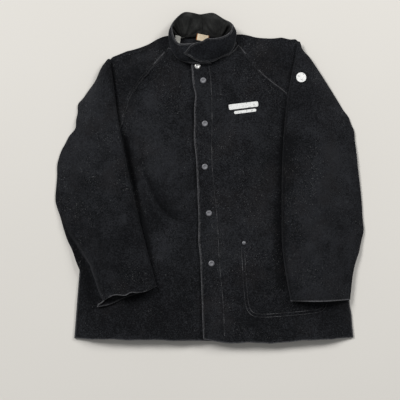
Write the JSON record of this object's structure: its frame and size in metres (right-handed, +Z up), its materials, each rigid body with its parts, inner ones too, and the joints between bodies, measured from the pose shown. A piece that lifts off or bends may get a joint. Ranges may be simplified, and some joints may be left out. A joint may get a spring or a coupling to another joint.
{
  "type": "leather welding jacket",
  "caption": "Split leather welding jacket laid flat and closed, with raglan sleeves, stand collar, snap placket and inside pocket.",
  "frame": {"origin": "bottom centre of the bounding box, on the surface that the jacket lies on", "axes": "+X towards the wearer's left, +Y from hem to collar, +Z up, out of the front of the jacket"},
  "size_m": [0.754, 0.806, 0.0598],
  "materials": {
    "suede": "napped split cowhide, matte",
    "raw_suede": "raw flesh side, matte",
    "twill": "cotton twill",
    "cotton": "woven cotton",
    "gunmetal": "dull gunmetal plate",
    "brass": "tarnished brass"
  },
  "bodies": {
    "jacket_body": {"back_panel": "suede", "right_front_panel": "suede", "left_front_panel": "suede", "right_shoulder_front": "suede", "right_shoulder_back": "suede", "left_shoulder_front": "suede", "left_shoulder_back": "suede", "collar_right": "suede", "collar_right_lining": "twill", "collar_left": "suede", "collar_left_lining": "twill", "pocket_bag": "cotton", "neck_label": "cotton", "size_tag": "cotton", "snap_stud_throat": "brass", "snap_post_throat": "gunmetal", "snap_stud_chest": "brass", "snap_post_chest": "gunmetal", "snap_stud_upper": "brass", "snap_post_upper": "gunmetal", "snap_stud_middle": "brass", "snap_post_middle": "gunmetal", "snap_stud_lower": "brass", "snap_post_lower": "gunmetal", "snap_stud_bottom": "brass", "snap_post_bottom": "gunmetal", "pocket_rivet_inner": "gunmetal", "pocket_burr_inner": "brass", "pocket_rivet_outer": "gunmetal", "pocket_burr_outer": "brass"},
    "front_flap": {"front_placket": "suede", "placket_facing": "raw_suede", "collar_tab": "suede", "collar_tab_lining": "twill", "snap_cap_throat": "gunmetal", "snap_socket_throat": "brass", "snap_cap_chest": "gunmetal", "snap_socket_chest": "brass", "snap_cap_upper": "gunmetal", "snap_socket_upper": "brass", "snap_cap_middle": "gunmetal", "snap_socket_middle": "brass", "snap_cap_lower": "gunmetal", "snap_socket_lower": "brass", "snap_cap_bottom": "gunmetal", "snap_socket_bottom": "brass"},
    "right_sleeve": {"right_under_sleeve": "suede", "right_top_sleeve": "suede"},
    "left_sleeve": {"left_under_sleeve": "suede", "left_top_sleeve": "suede"}
  },
  "joints": [
    {"name": "front_flap_fold", "type": "hinge", "parent": "jacket_body", "child": "front_flap", "pos_m": [0.0458, 0, 0.024], "axis": [0, 1, 0], "range_deg": [0, 110]},
    {"name": "right_sleeve_swing", "type": "hinge", "parent": "jacket_body", "child": "right_sleeve", "pos_m": [-0.243, 0.293, 0.012], "axis": [0, 0, -1], "range_deg": [0, 40]},
    {"name": "left_sleeve_swing", "type": "hinge", "parent": "jacket_body", "child": "left_sleeve", "pos_m": [0.218, 0.331, 0.012], "axis": [0, 0, 1], "range_deg": [0, 40]}
  ]
}
